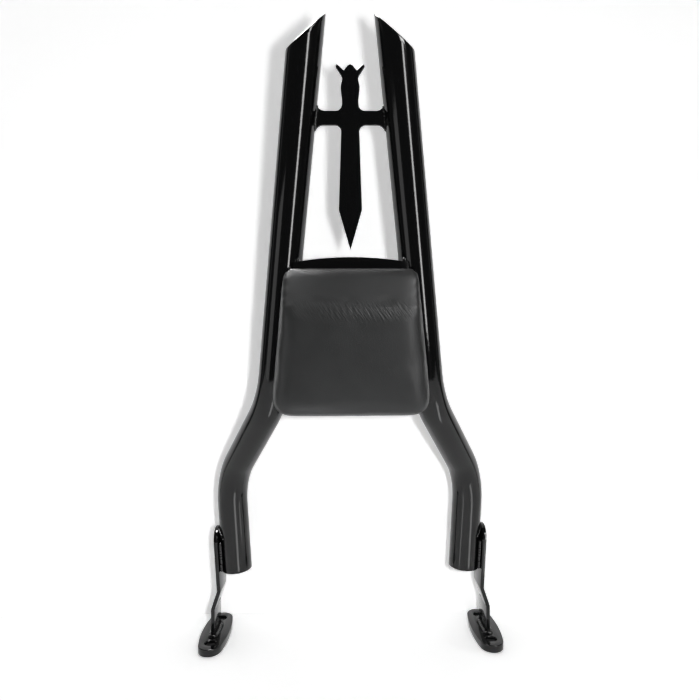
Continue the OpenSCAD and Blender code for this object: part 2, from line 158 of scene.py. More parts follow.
def bent_tube(name):
    """Bends a tube as a bender does: straight run, bend, straight run, bend, upright, slash cut."""
    leg = (LOW_ELBOW - LEG_END).normalized()
    slope = (UP_ELBOW - LOW_ELBOW).normalized()
    low_angle = leg.angle(slope)
    up_angle = slope.angle(UP_DIR)
    low_start = LOW_ELBOW - leg * LOW_BEND_R * math.tan(low_angle / 2)
    up_start = UP_ELBOW - slope * UP_BEND_R * math.tan(up_angle / 2)
    low_axis = leg.cross(slope).normalized()
    up_axis = slope.cross(UP_DIR).normalized()
    low_out = LOW_ELBOW + slope * LOW_BEND_R * math.tan(low_angle / 2)
    up_out = UP_ELBOW + UP_DIR * UP_BEND_R * math.tan(up_angle / 2)
    deselect()
    bpy.ops.mesh.primitive_circle_add(vertices=SIDES, radius=TUBE_R, location=LEG_END + leg * CAP_T,
                                      rotation=(0, TOE, 0))
    tube = settle(name)
    open_mesh(tube)
    draw_out(low_start - LEG_END - leg * CAP_T)
    bend_round(low_start + low_axis.cross(leg) * LOW_BEND_R, low_axis, low_angle)
    draw_out(up_start - low_out)
    bend_round(up_start + up_axis.cross(slope) * UP_BEND_R, up_axis, up_angle)
    draw_out(UP_DIR * (UPRIGHT_LEN + 4 * TUBE_R) - (up_out - UP_ELBOW))
    bpy.ops.mesh.select_all(action="SELECT")
    bpy.ops.mesh.remove_doubles(threshold=1e-6)
    bpy.ops.mesh.normals_make_consistent(inside=False)
    close_mesh()
    apply_modifier(tube, "SOLIDIFY", thickness=TUBE_WALL, offset=-1, use_even_offset=True)
    open_mesh(tube)
    bpy.ops.mesh.bisect(plane_co=SLASH_POINT - SLASH_NORMAL * CAP_T, plane_no=SLASH_NORMAL, clear_outer=True)
    bpy.ops.mesh.select_all(action="DESELECT")
    bpy.ops.mesh.select_mode(type="EDGE")
    bpy.ops.mesh.select_non_manifold()
    bpy.ops.mesh.bridge_edge_loops()
    close_mesh()
    outward(tube)
    smooth(tube)
    return tube


def draw_out(run):
    bpy.ops.mesh.extrude_region_move(TRANSFORM_OT_translate={"value": run})


def bend_round(centre, axis, angle):
    bpy.ops.mesh.spin(steps=BEND_STEPS, angle=-angle, center=centre, axis=axis)


def slash_cap(name):
    """The plate that closes the slash, cut from a rod along the upright, its upper edge ground round."""
    axis_point = UP_ELBOW + UP_DIR * UPRIGHT_LEN
    deselect()
    bpy.ops.mesh.primitive_cylinder_add(vertices=SIDES, radius=TUBE_R, depth=6 * TUBE_R, location=axis_point,
                                        rotation=turned_to(UP_DIR))
    cap = settle(name)
    open_mesh(cap)
    bpy.ops.mesh.bisect(plane_co=SLASH_POINT, plane_no=SLASH_NORMAL, clear_outer=True, use_fill=True)
    bpy.ops.mesh.select_all(action="SELECT")
    bpy.ops.mesh.bisect(plane_co=SLASH_POINT - SLASH_NORMAL * CAP_T, plane_no=SLASH_NORMAL, clear_inner=True,
                        use_fill=True)
    close_mesh()
    round_edges(cap, 1.2 * MM, 4, lambda p: abs((p - SLASH_POINT).dot(SLASH_NORMAL)) < 1e-5)
    outward(cap)
    smooth(cap)
    return cap


def round_edges(piece, width, segments, here):
    """Bevels the edges whose two ends pass the test."""
    mesh = bmesh.new()
    mesh.from_mesh(piece.data)
    edges = [e for e in mesh.edges if here(e.verts[0].co) and here(e.verts[1].co)]
    bmesh.ops.bevel(mesh, geom=edges, offset=width, segments=segments, profile=0.5, affect="EDGES",
                    clamp_overlap=True)
    mesh.to_mesh(piece.data)
    mesh.free()


def lower_cap(name):
    leg = (LOW_ELBOW - LEG_END).normalized()
    deselect()
    bpy.ops.mesh.primitive_cylinder_add(vertices=SIDES, radius=TUBE_R, depth=CAP_T,
                                        location=LEG_END + leg * CAP_T / 2, rotation=(0, TOE, 0))
    cap = settle(name)
    round_edges(cap, 0.9 * MM, 4, lambda p: abs((p - LEG_END).dot(leg)) < 1e-5)
    smooth(cap)
    return cap


def softened(node, name, width, segments=3, crease=28):
    """A CAD node's copy, merged, with its sharp edges rounded as powder coat rounds them."""
    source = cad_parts[node]
    piece = source.copy()
    piece.data = source.data.copy()
    piece.parent = None
    for key in list(piece.keys()):
        del piece[key]
    piece.name = name
    piece.data.name = name
    bpy.context.collection.objects.link(piece)
    open_mesh(piece)
    bpy.ops.mesh.remove_doubles(threshold=2e-6)
    bpy.ops.mesh.dissolve_limited(angle_limit=math.radians(0.5))
    close_mesh()
    apply_modifier(piece, "BEVEL", width=width, segments=segments, limit_method="ANGLE",
                   angle_limit=math.radians(crease), use_clamp_overlap=True, harden_normals=False)
    smooth(piece, crease + 6)
    return piece


def laid_bead(name, points, radius, pitch=0.55, seed=1):
    """A weld bead: overlapping drops along a path, melted together."""
    dice = random.Random(seed)
    deselect()
    drops = []
    total = sum((b - a).length for a, b in zip(points, points[1:]))
    count = max(3, round(total / (radius * pitch)))
    for i in range(count + 1):
        spot = along(points, total * i / count)
        size = radius * dice.uniform(0.86, 1.1)
        jitter = Vector([dice.uniform(-1, 1) for _ in range(3)]) * radius * 0.1
        bpy.ops.mesh.primitive_ico_sphere_add(subdivisions=3, radius=size, location=spot + jitter)
        drops.append(bpy.context.active_object)
    deselect()
    for drop in drops:
        drop.select_set(True)
    bpy.context.view_layer.objects.active = drops[0]
    bpy.ops.object.join()
    bead = settle(name)
    apply_modifier(bead, "REMESH", mode="VOXEL", voxel_size=radius * 0.16)
    apply_modifier(bead, "SMOOTH", factor=0.5, iterations=2)
    smooth(bead, 180)
    return bead


def along(points, distance):
    for a, b in zip(points, points[1:]):
        step = (b - a).length
        if distance <= step or b is points[-1]:
            return a.lerp(b, min(1.0, distance / step))
        distance -= step
    return points[-1]


def joined(name, parts):
    deselect()
    for part in parts:
        part.select_set(True)
    bpy.context.view_layer.objects.active = parts[0]
    bpy.ops.object.join()
    parts[0].name = name
    parts[0].data.name = name
    return parts[0]


# Welds.
FOOT_X = 147.3 * MM
FOOT_T = 8 * MM
STRUT_W = 30 * MM
STRUT_T = 4 * MM
STRUT_TOP = 122 * MM
GUARD_LOW = 251.5 * MM
GUARD_TOP = 263.5 * MM
PLATE_REAR = TUBE_R - 4 * MM
STRUT_BEAD_R = 1.1 * MM
GROOVE_BEAD_R = 1.7 * MM
FOOT_BEAD_R = 2.3 * MM
GUARD_BEAD_R = 1.6 * MM
PLATE_BEAD_R = 2.3 * MM
PLATE_BEAD_LEN = 24 * MM
PLATE_BEADS_AT = (18 * MM, 110 * MM)
BEAD_OUT = 0.8 * MM


def leg_point(out, y, up):
    """A point by the leg: out from its axis, y in depth, up along it from the lower end."""
    return LEG_END + Matrix.Rotation(TOE, 3, "Y") @ Vector((out, y, up))


def strut_weld(name):
    """Smooth fillets in the grooves behind the strut's edges, and a lumpy one over its round top."""
    groove = STRUT_W / 2 - 2.6 * MM
    seat = TUBE_R - 2.4 * MM
    top = STRUT_TOP - LEG_END.z - STRUT_W / 2
    arch = []
    for i in range(25):
        a = math.pi * (0.12 + 0.76 * i / 24)
        y = (STRUT_W / 2 - 1.0 * MM) * math.cos(a)
        on_tube = math.sqrt(TUBE_R ** 2 - y ** 2)
        arch.append(leg_point(on_tube + 0.6 * MM, y, top + (STRUT_W / 2 - 0.4 * MM) * math.sin(a)))
    beads = [laid_bead(name + "_top", arch, STRUT_BEAD_R, seed=11)]
    for side in (-1, 1):
        path = [leg_point(seat, side * groove, 4 * MM), leg_point(seat, side * groove, top)]
        beads.append(laid_bead(name + "_groove", path, GROOVE_BEAD_R, pitch=0.3, seed=12 + side))
    return joined(name, beads)


def foot_weld(name):
    """A lumpy fillet all round the strut's foot."""
    half_y = STRUT_W / 2
    half_x = STRUT_T / 2 + 1.3 * MM
    ring = []
    for i in range(49):
        a = 2 * math.pi * i / 48
        x = math.copysign(abs(math.cos(a)) ** 0.35, math.cos(a)) * half_x
        y = math.copysign(abs(math.sin(a)) ** 0.35, math.sin(a)) * half_y
        ring.append(Vector((FOOT_X + x, y, FOOT_T + 1.0 * MM)))
    return laid_bead(name, ring, FOOT_BEAD_R, seed=23)


def upright_point(out, y, s):
    """A point by the right upright: out from its axis towards the middle, y in depth, at height s."""
    return on_plane(UP_ELBOW.x - s * math.tan(SPLAY) - out / math.cos(SPLAY), y, s)


def guard_weld(name):
    """Two short beads where the guard's end meets the upright, before and behind the plate."""
    beads = []
    for k, y in enumerate((-2.1 * MM, 2.1 * MM)):
        path = [upright_point(TUBE_R - 0.3 * MM, y, GUARD_LOW - 3 * MM),
                upright_point(TUBE_R - 0.3 * MM, y, GUARD_TOP + 3 * MM)]
        beads.append(laid_bead(name + str(k), path, GUARD_BEAD_R, seed=31 + k))
    return joined(name, beads)


def plate_weld(name):
    """Two beads behind the mount plate's end, one low and one at its upper corner."""
    beads = []
    reach = math.sqrt(TUBE_R ** 2 - PLATE_REAR ** 2) + BEAD_OUT
    for k, s in enumerate(PLATE_BEADS_AT):
        path = [upright_point(reach, -PLATE_REAR + BEAD_OUT, s),
                upright_point(reach, -PLATE_REAR + BEAD_OUT, s + PLATE_BEAD_LEN)]
        beads.append(laid_bead(name + str(k), path, PLATE_BEAD_R, seed=41 + k))
    return joined(name, beads)


# The dagger plate. Widths are half widths, heights are up the leaning plane, in millimetres.
DAGGER_T = 4
EDGE_R = 0.5
BLADE = [(0, 142.5), (10.65, 178.5)]
BLADE_ROOT = 8.15
GUARD = (251.5, 263.5)
FILLET_R = 5.5
FLARE_R = 7
GRIP = [(7.4, 269.5), (7.4, 273), (8.4, 282.5), (7.3, 288), (7.1, 290), (7.9, 292.3), (9.8, 295.1),
        (12.7, 299.2)]
CROWN = [(12.7, 299.2), (12.6, 300.6), (11.7, 301.3), (10.0, 300.3), (6.6, 297.2), (5.5, 296.8),
         (4.3, 298.1), (2.0, 300.6), (0, 301.4)]


def arc_points(x, y, radius, start, end, count=10):
    turns = [math.radians(start + (end - start) * i / count) for i in range(count + 1)]
    return [(x + radius * math.cos(t), y + radius * math.sin(t)) for t in turns]


def flow(a, b, c, d, t):
    """One coordinate of a Catmull-Rom curve between b and c."""
    return 0.5 * (2 * b + (c - a) * t + (2 * a - 5 * b + 4 * c - d) * t * t
                  + (3 * b - a - 3 * c + d) * t ** 3)


def flowing(points, steps=5):
    """A smooth line through points."""
    line = []
    for i in range(len(points) - 1):
        a, b = points[max(i - 1, 0)], points[i]
        c, d = points[i + 1], points[min(i + 2, len(points) - 1)]
        for k in range(steps):
            line.append(tuple(flow(a[j], b[j], c[j], d[j], k / steps) for j in (0, 1)))
    return line + [points[-1]]


def tube_side(s):
    """Distance of the uprights' inner sides from the middle plane at height s, in millimetres."""
    return UP_ELBOW.x / MM - s * math.tan(SPLAY) - TUBE_R / MM / math.cos(SPLAY) + 0.1


def dagger_half():
    """The right half of the outline: blade, lower flare, upper flare, grip, crown."""
    low, top = GUARD
    low_side, top_side = tube_side(low), tube_side(top)
    blade = BLADE + arc_points(BLADE_ROOT + FILLET_R, low - FILLET_R, FILLET_R, 180, 90)
    flare = arc_points(low_side - FLARE_R, low - FLARE_R, FLARE_R, 90, 12)
    flare += arc_points(top_side - FLARE_R, top + FLARE_R, FLARE_R, -12, -90)
    grip = arc_points(GRIP[0][0] + FILLET_R, top + FILLET_R, FILLET_R, 270, 188)
    return blade + flare + grip + flowing(GRIP)[:-1] + flowing(CROWN)


def dagger_plate(name):
    """Cut from plate: the outline filled, given its thickness, its edges rounded by the coat."""
    right = dagger_half()
    outline = right + [(-x, y) for x, y in reversed(right[1:-1])]
    curve = bpy.data.curves.new(name, "CURVE")
    curve.dimensions = "2D"
    curve.fill_mode = "BOTH"
    curve.extrude = (DAGGER_T / 2 - EDGE_R) * MM
    curve.bevel_depth = EDGE_R * MM
    curve.bevel_resolution = 3
    curve.offset = -EDGE_R * MM
    spline = curve.splines.new("POLY")
    spline.points.add(len(outline) - 1)
    for point, (x, y) in zip(spline.points, outline):
        point.co = (x * MM, y * MM, 0, 1)
    spline.use_cyclic_u = True
    plate = bpy.data.objects.new(name, curve)
    bpy.context.collection.objects.link(plate)
    deselect()
    plate.select_set(True)
    bpy.context.view_layer.objects.active = plate
    bpy.ops.object.convert(target="MESH")
    plate = bpy.context.active_object
    stand = Matrix(((1, 0, 0, 0), (0, 0, -1, 0), (0, 1, 0, 0), (0, 0, 0, 1)))
    plate.data.transform(Matrix.Translation(PLANE_ORIGIN) @ LEAN_TURN.to_4x4() @ stand)
    open_mesh(plate)
    bpy.ops.mesh.remove_doubles(threshold=1e-6)
    bpy.ops.mesh.normals_make_consistent(inside=False)
    close_mesh()
    smooth(plate, 40)
    return plate


# The padded backrest.
PAD_BACK = 16.2 * MM
PAD_T = 32 * MM
PAD_LOW = -8 * MM
PAD_H = 134 * MM
PAD_HALF_LOW = 74.5 * MM
PAD_BROW = 93 * MM
PAD_CREST = 12 * MM
PAD_FLARE = 4.5 * MM
PAD_STRAIGHT = 7.3 * MM
PAD_LOW_FLARE = 6 * MM
COVER_T = 1.2 * MM
CLOTH_FRAMES = 12
CLOTH_GIVE = 0.4 * MM
COVER_GROWTH = 0.5 * MM
HEM_W = 14 * MM


BROW_Z = on_plane(0, -PAD_BACK - PAD_T, PAD_BROW).z - 2 * MM


def pad_half(s):
    """Half the pad's width at height s, which narrows as the uprights do."""
    return PAD_HALF_LOW - (s - PAD_LOW) * math.tan(SPLAY)


def pad_block(name):
    """The pad's wedge in the leaning plane's own axes: a box whose corners are pulled to their places."""
    top = PAD_LOW + PAD_H
    deselect()
    bpy.ops.mesh.primitive_cube_add(size=1, location=(0, -PAD_BACK - PAD_T / 2, PAD_LOW + PAD_H / 2),
                                    scale=(1, PAD_T, PAD_H))
    pad = settle(name)
    open_mesh(pad)
    bpy.ops.mesh.bisect(plane_co=(0, 0, PAD_BROW), plane_no=(0, 0, 1))
    bpy.ops.mesh.select_all(action="SELECT")
    bpy.ops.mesh.bisect(plane_co=(0, -PAD_BACK - PAD_STRAIGHT, 0), plane_no=(0, 1, 0))
    close_mesh()
    for vertex in pad.data.vertices:
        p = vertex.co
        side = math.copysign(1, p.x)
        at_front = p.y < -PAD_BACK - PAD_STRAIGHT - MM
        s = p.z
        if at_front and s < PAD_LOW + MM:
            p.z = s + PAD_LOW_FLARE
        if at_front and s > top - MM:
            p.y = -PAD_BACK - PAD_CREST
        inset = PAD_FLARE if at_front and s < top - MM else 0
        p.x = side * (pad_half(p.z) - inset)
    return pad


def rounded_pad(pad):
    """Rounds the pad's edges: large at the four corners, softer at the brow and the crest."""
    top = PAD_LOW + PAD_H
    mesh = bmesh.new()
    mesh.from_mesh(pad.data)

    def bevel(test, width, segments):
        edges = [e for e in mesh.edges if test(*(v.co for v in e.verts))]
        bmesh.ops.bevel(mesh, geom=edges, offset=width, segments=segments, profile=0.5, affect="EDGES",
                        clamp_overlap=True)

    def at_corner(a, b):
        through = abs(a.y - b.y) > 5 * MM and abs(a.x - b.x) < 15 * MM and abs(a.z - b.z) < 14 * MM
        return through and (min(a.z, b.z) > top - 5 * MM or max(a.z, b.z) < 10 * MM)

    bevel(at_corner, 15 * MM, 6)
    bevel(lambda a, b: min(a.z, b.z) > top - 5 * MM and max(a.y, b.y) < -PAD_BACK - 8 * MM, 9 * MM, 5)
    bevel(lambda a, b: max(a.y, b.y) < -PAD_BACK - PAD_CREST - 6 * MM, 7 * MM, 4)
    mesh.to_mesh(pad.data)
    mesh.free()


def inflated(pad):
    """Fills the pad like foam under tight vinyl: cloth under pressure, held close to the moulded form."""
    apply_modifier(pad, "REMESH", mode="VOXEL", voxel_size=4.5 * MM)
    apply_modifier(pad, "SMOOTH", factor=0.5, iterations=2)
    moulded = [v.co.copy() for v in pad.data.vertices]
    group = pad.vertex_groups.new(name="board")
    group.add([v.index for v in pad.data.vertices if v.co.y > -PAD_BACK - 6 * MM], 1.0, "REPLACE")
    cloth = pad.modifiers.new("Cloth", "CLOTH")
    cloth.settings.vertex_group_mass = "board"
    cloth.settings.use_pressure = True
    cloth.settings.uniform_pressure_force = 4
    cloth.settings.effector_weights.gravity = 0
    cloth.settings.tension_stiffness = 40
    cloth.settings.compression_stiffness = 40
    cloth.settings.bending_stiffness = 2
    scene = bpy.context.scene
    for step in range(1, CLOTH_FRAMES + 1):
        scene.frame_set(step)
    deselect()
    pad.select_set(True)
    bpy.context.view_layer.objects.active = pad
    bpy.ops.object.modifier_apply(modifier="Cloth")
    for vertex, start in zip(pad.data.vertices, moulded):
        move = vertex.co - start
        if move.length > CLOTH_GIVE:
            vertex.co = start + move * (CLOTH_GIVE / move.length)
    scene.frame_set(1)


def puckers(pad):
    """Small gathers of the vinyl where it bends over the brow, and a slow unevenness elsewhere."""
    normals = [v.normal.copy() for v in pad.data.vertices]
    for vertex, normal in zip(pad.data.vertices, normals):
        p = vertex.co
        near = math.exp(-((p.z - PAD_BROW + 2 * MM) / (5 * MM)) ** 2)
        lean = 0.2 + 14 * max(0.0, p.x)
        slant = p.x + lean * (p.z - PAD_BROW)
        fold = math.sin(slant / (0.8 * MM) + 5 * noise.noise(p * 75))
        patch = max(0.0, noise.noise(Vector((p.x * 45, 3.0, p.z * 70))) + 0.1)
        swell = noise.noise(p * 22 + Vector((7, 0, 0))) * 0.35 * MM
        front = 1.0 if p.y < -PAD_BACK - 9 * MM else 0.0
        vertex.co = p + normal * (COVER_GROWTH + front * (swell + 0.12 * MM * near * fold * patch))


def pad_cover(name):
    """The vinyl cover, open at the back inside its hem."""
    pad = pad_block(name)
    rounded_pad(pad)
    inflated(pad)
    apply_modifier(pad, "SUBSURF", levels=2, render_levels=2)
    puckers(pad)
    open_back(pad)
    apply_modifier(pad, "SOLIDIFY", thickness=COVER_T, offset=-1)
    pad.data.transform(Matrix.Translation(PLANE_ORIGIN) @ LEAN_TURN.to_4x4())
    smooth(pad, 180)
    return pad


def open_back(pad):
    """Cuts the back away inside the hem, so that the cover turns in over the board."""
    mesh = bmesh.new()
    mesh.from_mesh(pad.data)
    top = PAD_LOW + PAD_H

    def inside(p):
        across = pad_half(p.z) - HEM_W - abs(p.x)
        up = min(p.z - PAD_LOW - HEM_W, top - HEM_W - p.z)
        return p.y > -PAD_BACK - 2 * MM and across > 0 and up > 0

    gone = [f for f in mesh.faces if inside(f.calc_center_median())]
    bmesh.ops.delete(mesh, geom=gone, context="FACES")
    mesh.to_mesh(pad.data)
    mesh.free()


# Pad screws.
SCREW_KEY = 4 * MM
SOCKET_DEPTH = 2 * MM


def in_plane(point):
    """The leaning plane's own coordinates of a point."""
    return LEAN_TURN.transposed() @ (point - PLANE_ORIGIN)


def screw_heads(piece):
    """Middles of the four screws' heads, on their outer faces, in the plane's coordinates."""
    spots = [in_plane(v.co) for v in piece.data.vertices]
    mid = (min(p.z for p in spots) + max(p.z for p in spots)) / 2
    outer = max(p.y for p in spots)
    heads = []
    for right in (False, True):
        for upper in (False, True):
            own = [p for p in spots if (p.x > 0) == right and (p.z > mid) == upper]
            across = (min(p.x for p in own) + max(p.x for p in own)) / 2
            up = (min(p.z for p in own) + max(p.z for p in own)) / 2
            heads.append(Vector((across, outer, up)))
    return heads


def socket_screws(name):
    """The four screws with rounded heads and hexagon sockets."""
    screws = softened("pad_screws", name, 0.5 * MM, 3)
    for spot in screw_heads(screws):
        deselect()
        bpy.ops.mesh.primitive_cylinder_add(vertices=6, radius=SCREW_KEY / math.sqrt(3),
                                            depth=2 * SOCKET_DEPTH, location=on_plane(*spot),
                                            rotation=turned_to(plane_dir(0, 1, 0)))
        key_shape = settle("socket_cutter")
        apply_modifier(screws, "BOOLEAN", operation="DIFFERENCE", object=key_shape, solver="EXACT")
        bpy.data.objects.remove(key_shape)
    smooth(screws, 34)
    return screws


# Shader building.

class Value:
    """A socket that takes part in arithmetic."""

    def __init__(self, book, socket):
        self.book = book
        self.socket = socket

    def _math(self, operation, *values):
        return self.book.node("ShaderNodeMath", {"operation": operation}, dict(enumerate(values)))

    def __add__(self, other):
        return self._math("ADD", self, other)

    def __radd__(self, other):
        return self._math("ADD", other, self)

    def __sub__(self, other):
        return self._math("SUBTRACT", self, other)

    def __rsub__(self, other):
        return self._math("SUBTRACT", other, self)

    def __mul__(self, other):
        return self._math("MULTIPLY", self, other)

    def __rmul__(self, other):
        return self._math("MULTIPLY", other, self)


class Book:
    """A material's or the world's nodes."""

    def __init__(self, owner):
        owner.use_nodes = True
        self.tree = owner.node_tree
        self.tree.nodes.clear()

    def node(self, kind, settings=None, inputs=None, output=0):
        made = self.tree.nodes.new(kind)
        for key, value in (settings or {}).items():
            if key == "stops":
                for element, (place, colour) in zip(stretch(made.color_ramp.elements, len(value)), value):
                    element.position = place
                    element.color = colour
            else:
                setattr(made, key, value)
        for key, value in (inputs or {}).items():
            if isinstance(value, Value):
                self.tree.links.new(value.socket, made.inputs[key])
            else:
                made.inputs[key].default_value = value
        return Value(self, made.outputs[output])

    def place(self):
        return self.node("ShaderNodeTexCoord", output="Object")

    def out(self, surface, kind="ShaderNodeOutputMaterial"):
        end = self.tree.nodes.new(kind)
        self.tree.links.new(surface.socket, end.inputs["Surface"])


def stretch(elements, count):
    while len(elements) < count:
        elements.new(0.5)
    return list(elements)


def grey(level):
    return (level, level, level, 1.0)


# Heights from the brow line within which the vinyl's creases are full, and beyond which there are none.
CREASE_CORE = 2 * MM
CREASE_REACH = 13 * MM


def black_gloss():
    """Gloss black powder coat: a faint orange peel and slight changes of gloss."""
    material = bpy.data.materials.new("black_gloss")
    book = Book(material)
    place = book.place()
    peel = book.node("ShaderNodeTexNoise", inputs={"Vector": place, "Scale": 420.0, "Detail": 2.0})
    haze = book.node("ShaderNodeTexNoise", inputs={"Vector": place, "Scale": 38.0, "Detail": 4.0})
    bump = book.node("ShaderNodeBump", inputs={"Height": peel, "Strength": 0.05, "Distance": 0.0004})
    coat = book.node("ShaderNodeBsdfPrincipled", inputs={
        "Base Color": (0.0032, 0.0033, 0.0036, 1), "Roughness": haze * 0.07 + 0.06,
        "Normal": bump, "IOR": 1.42})
    book.out(coat)
    return material


def vinyl():
    """Black upholstery vinyl: fine grain, and slanted creases at the brow that are too small to model."""
    material = bpy.data.materials.new("black_vinyl")
    book = Book(material)
    place = book.place()
    cells = book.node("ShaderNodeTexVoronoi", {"feature": "DISTANCE_TO_EDGE"},
                      {"Vector": place, "Scale": 900.0})
    grain = book.node("ShaderNodeTexNoise", inputs={"Vector": place, "Scale": 1300.0, "Detail": 3.0})
    cloud = book.node("ShaderNodeTexNoise", inputs={"Vector": place, "Scale": 26.0, "Detail": 3.0})
    stops = [(0.3, (0.0165, 0.0172, 0.0176, 1)), (0.7, (0.022, 0.0228, 0.0232, 1))]
    tone = book.node("ShaderNodeValToRGB", {"stops": stops}, {"Fac": cloud})
    turned = book.node("ShaderNodeVectorRotate", {"rotation_type": "Y_AXIS"},
                       {"Vector": place, "Angle": 0.6})
    drawn = book.node("ShaderNodeMapping", inputs={"Vector": turned, "Scale": (620, 40, 90)})
    creases = book.node("ShaderNodeTexNoise", inputs={"Vector": drawn, "Scale": 1.0, "Detail": 3.0})
    axes = book.tree.nodes.new("ShaderNodeSeparateXYZ")
    book.tree.links.new(place.socket, axes.inputs[0])
    off_brow = book.node("ShaderNodeMath", {"operation": "ABSOLUTE"},
                         {0: Value(book, axes.outputs["Z"]) - BROW_Z})
    by_brow = book.node("ShaderNodeMapRange", {"interpolation_type": "SMOOTHSTEP"},
                        {"Value": off_brow, "From Min": CREASE_CORE, "From Max": CREASE_REACH,
                         "To Min": 1.0, "To Max": 0.0})
    to_right = book.node("ShaderNodeMapRange", {"interpolation_type": "SMOOTHSTEP"},
                         {"Value": Value(book, axes.outputs["X"]), "From Min": -0.05, "From Max": 0.02,
                          "To Min": 0.35, "To Max": 1.0})
    height = cells * 0.7 + grain * 0.5 + creases * by_brow * to_right * 5
    bump = book.node("ShaderNodeBump", inputs={"Height": height, "Strength": 0.28, "Distance": 0.0004})
    skin = book.node("ShaderNodeBsdfPrincipled", inputs={
        "Base Color": tone, "Roughness": cloud * 0.12 + 0.36, "Normal": bump, "IOR": 1.45})
    book.out(skin)
    return material


def moulded_board():
    material = bpy.data.materials.new("moulded_board")
    book = Book(material)
    speckle = book.node("ShaderNodeTexNoise", inputs={"Vector": book.place(), "Scale": 900.0, "Detail": 2.0})
    bump = book.node("ShaderNodeBump", inputs={"Height": speckle, "Strength": 0.3, "Distance": 0.0003})
    body = book.node("ShaderNodeBsdfPrincipled", inputs={
        "Base Color": (0.03, 0.03, 0.031, 1), "Roughness": speckle * 0.2 + 0.45, "Normal": bump})
    book.out(body)
    return material


def zinc():
    """Zinc plating: bright, slightly cloudy metal."""
    material = bpy.data.materials.new("zinc_plate")
    book = Book(material)
    cloud = book.node("ShaderNodeTexNoise", inputs={"Vector": book.place(), "Scale": 300.0, "Detail": 4.0})
    stops = [(0.35, (0.5, 0.51, 0.53, 1)), (0.7, (0.68, 0.69, 0.7, 1))]
    tone = book.node("ShaderNodeValToRGB", {"stops": stops}, {"Fac": cloud})
    plating = book.node("ShaderNodeBsdfPrincipled", inputs={
        "Base Color": tone, "Metallic": 1.0, "Roughness": cloud * 0.2 + 0.2})
    book.out(plating)
    return material


def finish_with(piece, material, slot_name, *nodes):
    """Gives a piece its material, puts it under the root body and hides the CAD nodes that it stands for."""
    piece.data.materials.clear()
    piece.data.materials.append(material)
    for polygon in piece.data.polygons:
        polygon.material_index = 0
    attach(piece, "root")
    if nodes:
        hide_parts(*nodes)
    return piece


deselect()
GLOSS = black_gloss()
VINYL = vinyl()
BOARD = moulded_board()
ZINC = zinc()


def pair(make, what):
    """Makes the right-hand piece and its mirror image, in gloss black."""
    right = make("right_" + what + "_coated")
    left = mirrored(right, "left_" + what + "_coated")
    finish_with(right, GLOSS, "gloss_black", "right_" + what)
    finish_with(left, GLOSS, "gloss_black", "left_" + what)


pair(bent_tube, "tube")
pair(slash_cap, "slash_cap")
pair(lower_cap, "lower_cap")
pair(strut_weld, "strut_weld")
pair(foot_weld, "foot_weld")
pair(guard_weld, "guard_weld")
pair(plate_weld, "plate_weld")
pair(lambda name: softened("right_strut", name, 0.7 * MM), "strut")
pair(lambda name: softened("right_foot", name, 1.4 * MM, 4), "foot")
finish_with(dagger_plate("dagger_plate_coated"), GLOSS, "gloss_black", "dagger_plate")
mount_plate = softened("pad_mount_plate", "pad_mount_plate_coated", 0.6 * MM, 3)
finish_with(mount_plate, GLOSS, "gloss_black", "pad_mount_plate")

finish_with(socket_screws("pad_screws_plated"), ZINC, "zinc", "pad_screws")

cover = finish_with(pad_cover("pad_cover_vinyl"), VINYL, "vinyl", "pad_cover", "pad_foam")

for node_name, material in (("pad_board", BOARD), ("pad_tee_nuts", ZINC), ("pad_washers", ZINC)):
    node_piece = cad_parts[node_name]
    node_piece.data.materials.clear()
    node_piece.data.materials.append(material)

# Floor, backdrop, lights and camera.
PAPER = 0.92
PAPER_SEEN = 1.42
PAPER_LIFT = 0.18
FLOOR_LIFT = 0.25
FLOOR_SIZE = (3.2, 0.72)
BACKDROP_SIZE = (3.2, 1.8)
WALL_Y = 50 * MM


def lit_paper(name, own_lift, show_through):
    """White paper that keeps shadows. It looks white, also in reflections, but sends back less light.

    The backdrop also lets the view through from behind, and its far sides are dark in reflections.
    """
    material = bpy.data.materials.new(name)
    book = Book(material)
    path = book.tree.nodes.new("ShaderNodeLightPath")
    reflected = Value(book, path.outputs["Is Glossy Ray"])
    passed = Value(book, path.outputs["Is Transmission Ray"])
    seen = Value(book, path.outputs["Is Camera Ray"]) + reflected + passed
    brightness = seen * (PAPER_SEEN - PAPER) + PAPER
    paper = book.node("ShaderNodeBsdfDiffuse", inputs={"Color": brightness})
    lift = seen * own_lift
    surface = book.node("ShaderNodeAddShader", inputs={0: paper, 1: scaled_glow(book, lift)})
    if show_through:
        axes = book.tree.nodes.new("ShaderNodeSeparateXYZ")
        book.tree.links.new(book.place().socket, axes.inputs[0])
        aside = book.node("ShaderNodeMath", {"operation": "ABSOLUTE"}, {0: Value(book, axes.outputs["X"])})
        dim = book.node("ShaderNodeMapRange", {"interpolation_type": "SMOOTHSTEP"},
                        {"Value": aside, "From Min": 0.3, "From Max": 0.6, "To Min": 0.0, "To Max": 1.0})
        dark = book.node("ShaderNodeBsdfDiffuse", inputs={"Color": grey(0.02)})
        surface = book.node("ShaderNodeMixShader", inputs={0: dim * reflected, 1: surface, 2: dark})
        clear = book.node("ShaderNodeBsdfTransparent")
        behind = book.node("ShaderNodeNewGeometry", output="Backfacing")
        surface = book.node("ShaderNodeMixShader", inputs={0: behind, 1: surface, 2: clear})
    book.out(surface)
    return material


def scaled_glow(book, strength):
    return book.node("ShaderNodeEmission", inputs={"Color": grey(1.0), "Strength": strength})


def sheet_of(name, material, location, size, turn):
    deselect()
    bpy.ops.mesh.primitive_plane_add(size=1, location=location, rotation=turn)
    plane = bpy.context.active_object
    plane.scale = (size[0], size[1], 1)
    settle(name)
    plane.data.materials.append(material)


